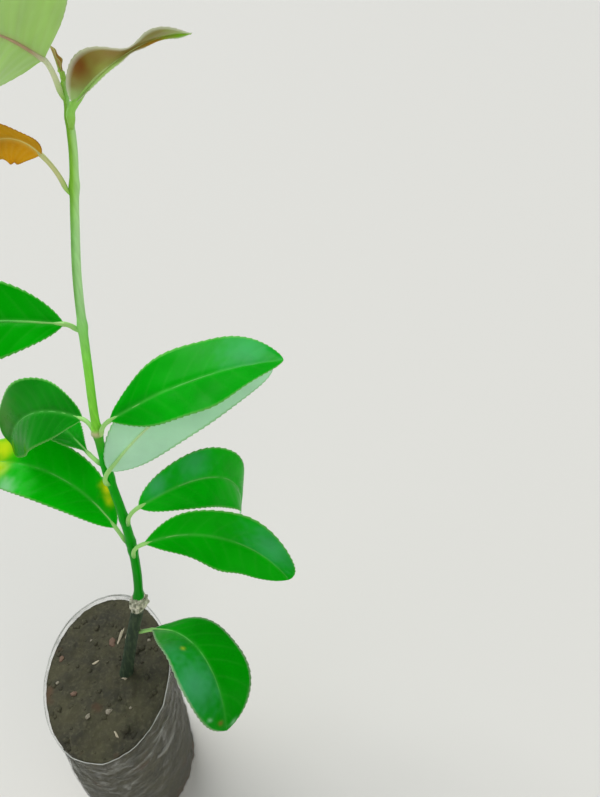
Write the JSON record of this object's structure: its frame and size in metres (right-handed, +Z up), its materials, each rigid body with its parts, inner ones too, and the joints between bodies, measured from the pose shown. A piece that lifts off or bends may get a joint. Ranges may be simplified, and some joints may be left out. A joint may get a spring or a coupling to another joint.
{
  "type": "lemon tree sapling",
  "caption": "Young lemon tree in a soil-filled film nursery bag: a woody cutting stub with a leaning green shoot and stalked glossy leaves.",
  "frame": {"origin": "centre of the bag's flat underside, on the surface it stands on", "axes": "+Z up, +X to the right and +Y away from the side that the picture was taken from"},
  "size_m": [0.1671, 0.1388, 0.485],
  "materials": {
    "bag_film": "clear polythene film, glossy and finely crinkled, showing the damp soil behind it",
    "potting_soil": "damp grey-brown soil with crumbs and a few pale pebbles",
    "bark": "dull dark grey-green bark with a pale knobbly callus",
    "green_stem": "smooth satin green rind, dark below and yellow-green above",
    "leaf_green": "glossy bright green above, matte pale grey-green below",
    "leaf_young": "soft satin pale yellow-green",
    "leaf_bronze": "satin red-brown with pale green margins",
    "leaf_withered": "dull orange-yellow"
  },
  "bodies": {
    "root": {"nursery_bag": "bag_film", "soil": "potting_soil", "woody_stub": "bark", "green_shoot": "green_stem", "leaf_01_on_stub": "leaf_green", "leaf_02_right": "leaf_green", "leaf_03_left": "leaf_green", "leaf_04_right": "leaf_green", "leaf_05_behind": "leaf_green", "leaf_06_upturned": "leaf_green", "leaf_07_back_left": "leaf_green", "leaf_08_right": "leaf_green", "leaf_09_left": "leaf_green", "leaf_10_left": "leaf_green", "leaf_11_withered": "leaf_withered", "leaf_12_bronze": "leaf_bronze", "leaf_13_pale": "leaf_young", "leaf_14_tip": "leaf_young"}
  },
  "joints": []
}
